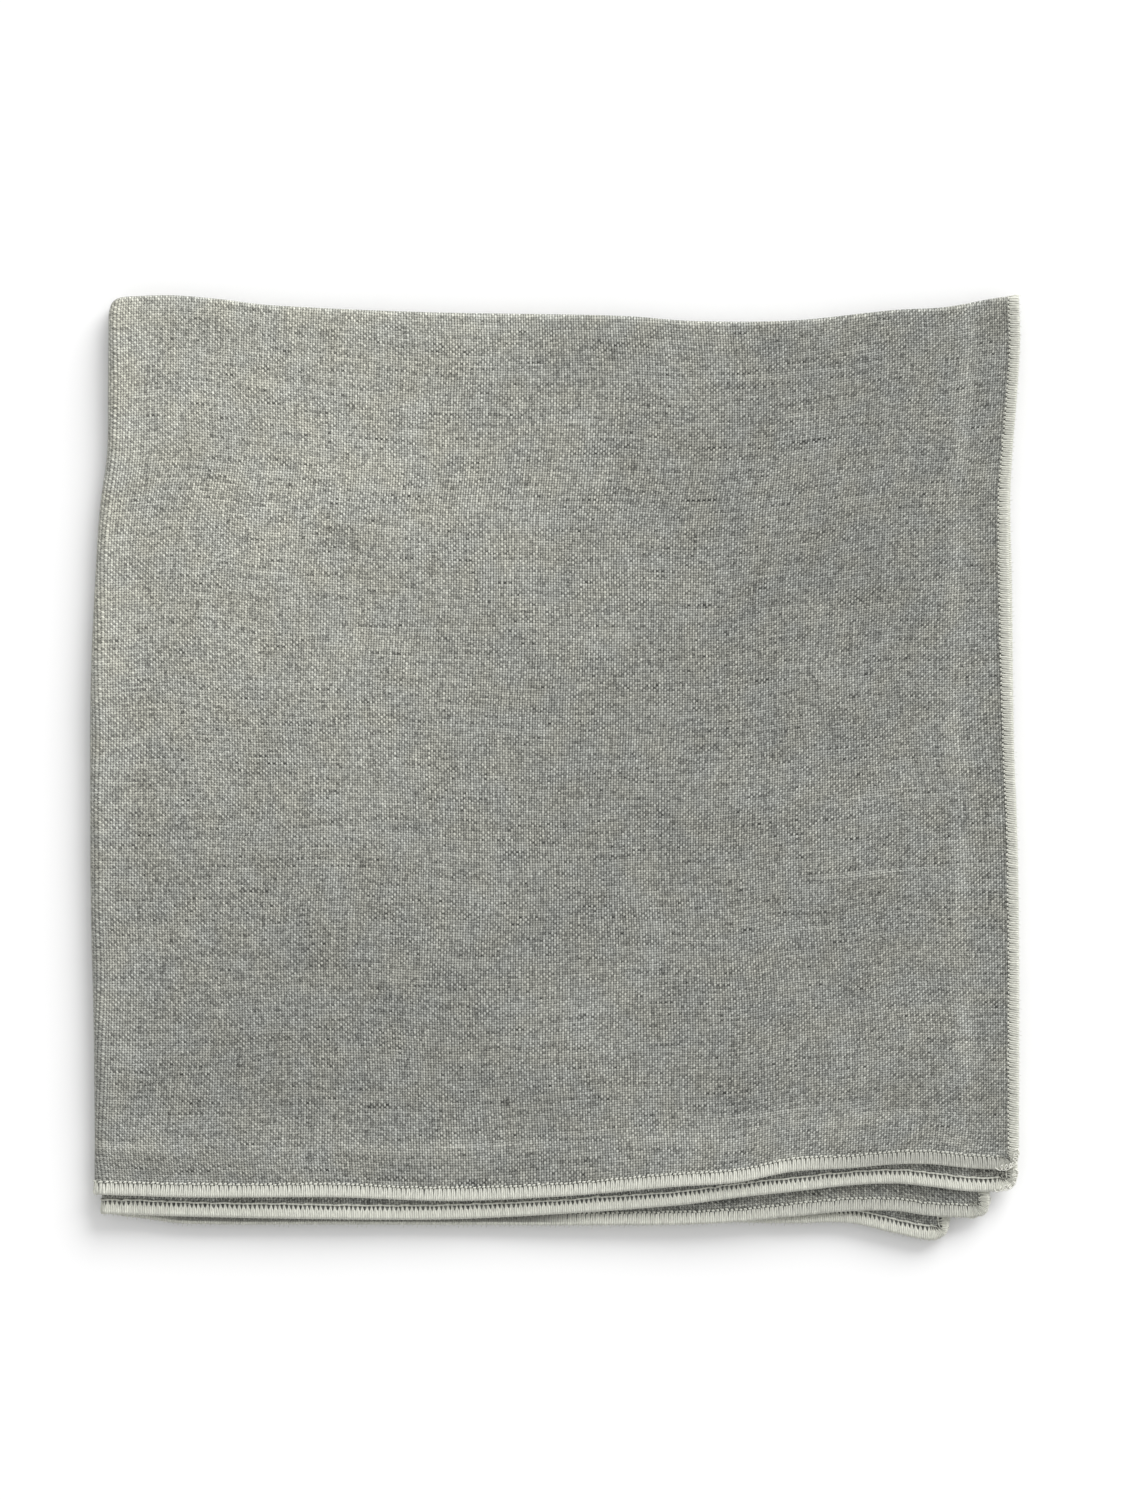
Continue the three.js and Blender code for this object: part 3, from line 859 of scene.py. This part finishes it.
def thread_material(sizes, finish):
    """Ivory spun thread with fine filaments along each leg of a stitch."""
    recipe = Recipe("edging_thread")
    m = recipe.math
    u, v = recipe.uv("flat_edging")
    run = m("MULTIPLY", u, (sizes.under_width + sizes.upper_width) / MM)
    inward = m("MULTIPLY", v, EDGING_SPAN)
    fine_run, fine_inward = FILAMENT_GRAIN
    filament = recipe.noise(m("MULTIPLY", run, fine_run), m("MULTIPLY", inward, fine_inward), detail=2.0)
    stitch = recipe.noise(m("MULTIPLY", run, STITCH_GRAIN), STITCH_TONE_SEED)
    bright = m("MULTIPLY", recipe.spread(filament, *FILAMENT_TONES), recipe.spread(stitch, *STITCH_TONES))
    off_lip = m("ABSOLUTE", m("SUBTRACT", inward, EDGING_SPAN / 2))
    lip, beads, fade, outside = (SHADED_BAND[key] for key in ("lip", "beads", "fade", "outside"))
    between = m("MULTIPLY", recipe.spread(off_lip, lip, lip + fade, outside, 1.0),
                recipe.spread(off_lip, beads - fade, beads, 1.0, outside))
    # Painted shade on the stretches of edging that lie in the shade
    for shaded in SHADED_STRETCHES:
        inside = m("SUBTRACT", u, RUN_STEP * shaded["run"])
        from_full = m("ABSOLUTE", m("SUBTRACT", inside, shaded["full"]))
        near = m("LESS_THAN", from_full, abs(shaded["end"] - shaded["full"]))
        shade = recipe.spread(inside, shaded["start"], shaded["full"], 0.0, shaded["shade"] - 1)
        bright = m("MULTIPLY", bright, m("MULTIPLY_ADD", m("MULTIPLY", shade, between), near, 1.0))
    bright = m("MULTIPLY", bright, hidden_band_shade(recipe, u, off_lip))
    recipe.feed(recipe.shader.inputs["Base Color"], recipe.tint(tuple(finish.thread_colour), bright))
    recipe.surface(THREAD_SURFACE)
    recipe.bump(filament, FILAMENT_BUMP * MM)
    return recipe.material


class TOWEL_OT_add_cloth(bpy.types.Operator):
    """Add the linen cloth, folded in four"""

    bl_idname = "towel.add_cloth"
    bl_label = "Folded cloth"

    def execute(self, context):
        sizes = context.scene.towel_sizes
        shape = FoldedShape(sizes)
        columns = stations(shape.under_width, shape.upper_width, shape.left_radius)
        rows = stations(shape.face_down_length, shape.face_up_length, shape.top_radius)[::-1]
        deselect_all()
        bpy.ops.mesh.primitive_grid_add(x_subdivisions=len(columns) - 1, y_subdivisions=len(rows) - 1)
        cloth = context.object
        cloth.name = "linen_cloth"
        across, along = (grid.ravel() for grid in np.meshgrid(columns, rows))
        points = shape.middle(across, along) * MM
        cloth.data.vertices.foreach_set("co", points.ravel())
        width = shape.under_width + shape.upper_width
        length = shape.face_down_length + shape.face_up_length
        sideways, lengthways = thread_wander(across, along, ease(shape.to_edge(across, along) / WANDER_START))
        write_uv(cloth.data, "flat_towel", (across + sideways + shape.under_width) / width,
                 (along + lengthways + shape.face_down_length) / length)
        apply_modifier(cloth, "SOLIDIFY", thickness=sizes.cloth_thickness, offset=0.0, use_even_offset=True)
        bpy.ops.object.shade_smooth()
        cloth.data.materials.append(linen_material(sizes, context.scene.towel_finish))
        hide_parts("cloth")
        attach(cloth, "root")
        return {"FINISHED"}


def add_tube(name, points, radii):
    """Thread tube through a few points with a radius at each, as a closed mesh."""
    bpy.ops.curve.primitive_nurbs_path_add(location=(0, 0, 0))
    tube = bpy.context.object
    tube.name = name
    curve = tube.data
    curve.splines.remove(curve.splines[0])
    spline = curve.splines.new("POLY")
    spline.points.add(len(points) - 1)
    for point, place, radius in zip(spline.points, points, radii):
        point.co = (*place, 1.0)
        point.radius = radius
    curve.bevel_depth = 1.0
    curve.bevel_resolution = 0
    curve.use_fill_caps = True
    bpy.ops.object.convert(target="MESH")
    return bpy.context.object


def join_parts(parts):
    """Makes one object of a few that lie together."""
    for part in parts:
        part.select_set(True)
    bpy.context.view_layer.objects.active = parts[0]
    bpy.ops.object.join()
    return bpy.context.object


def add_stitch(sizes):
    """One overlock stitch on a straight edge: x along the edge, y inward, z off the face."""
    pitch = sizes.stitch_length
    half = sizes.edging_thickness / 2
    deselect_all()
    parts = []
    for kind in LEGS:
        centre = kind["centre"]
        points = [(
            (centre + (0.5 - centre) * row["lean"] / FLAT_THREAD) * pitch,
            row["inward"] * sizes.edging_width,
            row["height"] * half,
        ) for row in LEG_PATH]
        run, inward, height = points[0]
        points[0] = (run, inward + kind["inner"] * sizes.edging_width, height)
        leg = add_tube("stitch_leg", points, [row["girth"] * sizes.thread_radius for row in LEG_PATH])
        bpy.ops.object.mode_set(mode="EDIT")
        bpy.ops.mesh.select_all(action="SELECT")
        bpy.ops.transform.resize(value=(FLAT_THREAD, 1, 1), center_override=(centre * pitch, 0, 0))
        bpy.ops.object.mode_set(mode="OBJECT")
        parts.append(leg)
    for path in BEAD_PATHS:
        points = [(row["run"] * pitch, row["inward"] * sizes.edging_width, row["height"] * half)
                  for row in path]
        parts.append(add_tube("stitch_bead", points, [row["girth"] * sizes.thread_radius for row in path]))
    return join_parts(parts)


def turn_in(place, shape, axis):
    """How far the way in turns towards a free corner's diagonal, at a place along an edge."""
    ends = shape.widths(place) if axis == 0 else shape.lengths(place)
    past = (np.abs(place) - ends) / CORNER_ROUNDING + 1
    return -np.sign(place) * np.maximum(0, past)


class TOWEL_OT_add_edging(bpy.types.Operator):
    """Add the overlock stitches round all four raw edges"""

    bl_idname = "towel.add_edging"
    bl_label = "Overlock edging"

    def execute(self, context):
        sizes = context.scene.towel_sizes
        shape = FoldedShape(sizes)
        material = thread_material(sizes, context.scene.towel_finish)
        for index, run in enumerate(EDGING_RUNS):
            stitches = add_stitch(sizes)
            self.sew(stitches, shape, sizes, run, index)
            stitches.data.materials.clear()
            stitches.data.materials.append(material)
            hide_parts("edging")
            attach(stitches, "root")
        return {"FINISHED"}

    def sew(self, stitches, shape, sizes, run, index):
        """Repeats one stitch along a raw edge, unevenly, and folds the row with the cloth."""
        axis, side = run["along_axis"], run["side"]
        if axis == 0:
            start, end = -shape.under_width, shape.upper_width
            edge = shape.face_up_length if side > 0 else shape.face_down_length
        else:
            start, end = -shape.face_down_length, shape.face_up_length
            edge = shape.upper_width if side > 0 else shape.under_width
        count = round((end - start) * MM / sizes.stitch_length)
        pitch = (end - start) * MM / count
        apply_modifier(stitches, "ARRAY", count=count, use_relative_offset=False,
                       use_constant_offset=True, constant_offset_displace=(pitch, 0, 0))
        stitches.name = run["name"]
        mesh = stitches.data
        points = np.empty(len(mesh.vertices) * 3)
        mesh.vertices.foreach_get("co", points)
        along_run, inward, height = points.reshape(-1, 3).T / MM
        face = np.where(height < 0, -1, 1)
        write_uv(mesh, "flat_edging", index * RUN_STEP + along_run / (end - start),
                 0.5 + face * inward / EDGING_SPAN)
        draw = np.random.default_rng(STITCH_SEED + index)
        stitch = np.clip((along_run / (pitch / MM)).astype(int), 0, count - 1)
        to_end = np.minimum(along_run, end - start - along_run)
        unrest = 1 + UNREST["at_corners"] * ease(1 - to_end / CORNER_ROUNDING)

        def uneven(kind):
            return draw.normal(0, UNREST[kind], count)[stitch] * unrest

        (slow, slow_run), (quick, quick_run) = LEAN_DRIFTS
        drift = slow * np.sin(along_run / slow_run + index) + quick * np.sin(along_run / quick_run)
        lean = run["slant"] + drift + uneven("lean")
        swing, swing_run = REACH_DRIFT
        reach = 1 + swing * np.sin(along_run / swing_run + index) + uneven("reach")
        along_run = along_run + lean * inward / shape.edging_width
        stray = 1 + STRAY_REACH * draw.random(count)[stitch] ** 3 * ease(to_end / CORNER_ROUNDING - 1)
        inward = inward * np.where(inward < STRAY_START, stray, reach)
        if axis == 1:
            inward = inward * RIGHT_WIDTH_SHARE
        height = height * (1 + uneven("height"))
        place = start + along_run
        moved = place + turn_in(place, shape, axis) * inward
        inside = side * (edge - inward)
        across, along = (moved, inside) if axis == 0 else (inside, moved)
        places = shape.place(across, along, height)
        places[:, 2] = np.maximum(places[:, 2], FLOOR_CLEARANCE)
        mesh.vertices.foreach_set("co", (places * MM).ravel())
        mesh.update()
        deselect_all()
        stitches.select_set(True)
        bpy.context.view_layer.objects.active = stitches
        bpy.ops.object.mode_set(mode="EDIT")
        bpy.ops.mesh.select_all(action="SELECT")
        bpy.ops.mesh.normals_make_consistent(inside=False)
        bpy.ops.object.mode_set(mode="OBJECT")
        bpy.ops.object.shade_smooth()


class TOWEL_OT_add_loops(bpy.types.Operator):
    """Add the loose loops of thread at the free corners"""

    bl_idname = "towel.add_loops"
    bl_label = "Corner loops"

    def execute(self, context):
        sizes = context.scene.towel_sizes
        shape = FoldedShape(sizes)
        draw = np.random.default_rng(LOOP_SEED)
        deselect_all()
        parts = []
        for across_end in (-shape.under_width, shape.upper_width):
            for along_end in (-shape.face_down_length, shape.face_up_length):
                places = self.wind(shape, across_end, along_end, draw)
                radii = [LOOP_GIRTH * sizes.thread_radius] * len(places)
                parts.append(add_tube("corner_loop", places * MM, radii))
        loops = join_parts(parts)
        loops.name = "corner_loops"
        nowhere = np.zeros(len(loops.data.vertices))
        write_uv(loops.data, "flat_edging", nowhere, nowhere)
        bpy.ops.object.shade_smooth()
        loops.data.materials.clear()
        loops.data.materials.append(bpy.data.materials["edging_thread"])
        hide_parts("edging")
        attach(loops, "root")
        return {"FINISHED"}

    def wind(self, shape, across_end, along_end, draw):
        """Path of the loops that run round one free corner, in millimetres."""
        count = LOOP_COUNT * POINTS_A_LOOP
        share = np.linspace(0, 1, count)
        turn = share * 2 * math.pi * LOOP_COUNT
        radius = LOOP_RADIUS * draw.uniform(*LOOP_RADIUS_SPREAD, count)
        past = (share - 0.5) * LOOP_REACH
        from_right = LOOP_INSET + np.maximum(past, 0) + radius * np.cos(turn)
        from_lower = LOOP_INSET + np.maximum(-past, 0) + radius * np.sin(turn)
        across = across_end - np.sign(across_end) * from_right
        along = along_end - np.sign(along_end) * from_lower
        height = np.sign(along_end) * shape.edge_rise * 2 + draw.normal(0, LOOP_HEIGHT_SPREAD, count)
        return shape.place(across, along, height)


class TOWEL_OT_set_stage(bpy.types.Operator):
    """Set the pale floor, the soft lights and the camera straight above"""

    bl_idname = "towel.set_stage"
    bl_label = "Studio stage"

    def execute(self, context):
        look = context.scene.towel_stage
        self.add_camera(context, look)
        self.add_floor(look)
        key = self.add_light("key_light", "SUN", KEY_PLACE)
        key.data.energy = look.key_strength
        key.data.angle = look.key_softness
        corner = self.add_light("corner_light", "SPOT", CORNER_PLACE)
        corner.rotation_euler = (0, 0, 0)
        corner.data.energy = look.corner_power
        corner.data.spot_size = CORNER_CONE
        corner.data.spot_blend = 1.0
        corner.data.shadow_soft_size = CORNER_SOFTNESS
        corner.data.color = CORNER_COLOUR
        world = bpy.data.worlds.new("soft_sky")
        world.use_nodes = True
        background = world.node_tree.nodes["Background"]
        background.inputs["Color"].default_value = (1.0, 1.0, 1.0, 1.0)
        background.inputs["Strength"].default_value = look.sky_strength
        context.scene.world = world
        context.scene.view_settings.view_transform = "Standard"
        return {"FINISHED"}

    def add_camera(self, context, look):
        deselect_all()
        bpy.ops.object.camera_add(location=(*CAMERA_OVER, look.camera_height), rotation=(0, 0, 0))
        camera = context.object
        camera.name = "overhead_camera"
        away = look.camera_height - FOCUS_HEIGHT
        camera.data.lens = camera.data.sensor_width * away / look.view_length
        context.scene.camera = camera

    def add_floor(self, look):
        deselect_all()
        bpy.ops.mesh.primitive_plane_add(size=FLOOR_SIZE)
        floor = bpy.context.object
        floor.name = "floor"
        recipe = Recipe("pale_floor")
        recipe.surface({"Base Color": (*look.floor_colour, 1.0), "Roughness": FLOOR_ROUGHNESS})
        floor.data.materials.append(recipe.material)

    def add_light(self, name, kind, place):
        """A light at a place, turned to the middle of the floor."""
        deselect_all()
        bpy.ops.object.light_add(type=kind, location=place)
        light = bpy.context.object
        light.name = name
        away = math.hypot(place[0], place[1])
        light.rotation_euler = (math.atan2(away, place[2]), 0, math.atan2(place[0], -place[1]))
        return light


class TOWEL_PT_panel(bpy.types.Panel):
    """Sidebar list of the towel's pieces"""

    bl_label = "Folded towel"
    bl_idname = "TOWEL_PT_panel"
    bl_space_type = "VIEW_3D"
    bl_region_type = "UI"
    bl_category = "Towel"

    def draw(self, context):
        for group in ("towel_sizes", "towel_finish", "towel_stage"):
            box = self.layout.box()
            values = getattr(context.scene, group)
            for name in values.__annotations__:
                box.prop(values, name)
        for operator in OPERATORS:
            self.layout.operator(operator.bl_idname)


OPERATORS = (TOWEL_OT_add_cloth, TOWEL_OT_add_edging, TOWEL_OT_add_loops, TOWEL_OT_set_stage)
CLASSES = (TowelSizes, TowelFinish, StageLook, *OPERATORS, TOWEL_PT_panel)


def register():
    for item in CLASSES:
        bpy.utils.register_class(item)
    bpy.types.Scene.towel_sizes = bpy.props.PointerProperty(type=TowelSizes)
    bpy.types.Scene.towel_finish = bpy.props.PointerProperty(type=TowelFinish)
    bpy.types.Scene.towel_stage = bpy.props.PointerProperty(type=StageLook)


def unregister():
    del bpy.types.Scene.towel_stage
    del bpy.types.Scene.towel_finish
    del bpy.types.Scene.towel_sizes
    for item in reversed(CLASSES):
        bpy.utils.unregister_class(item)


def sewing_names():
    """Names of the pieces that are sewn to the cloth."""
    return [run["name"] for run in EDGING_RUNS] + ["corner_loops"]


def light_towel_only():
    """Keeps the corner light off the floor."""
    towel = bpy.data.collections.new("towel")
    for name in ["linen_cloth"] + sewing_names():
        towel.objects.link(bpy.data.objects[name])
    bpy.data.objects["corner_light"].light_linking.receiver_collection = towel


def main():
    register()
    bpy.ops.towel.set_stage()
    bpy.ops.towel.add_cloth()
    bpy.ops.towel.add_edging()
    bpy.ops.towel.add_loops()
    light_towel_only()
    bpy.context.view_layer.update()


if __name__ == "__main__":
    main()
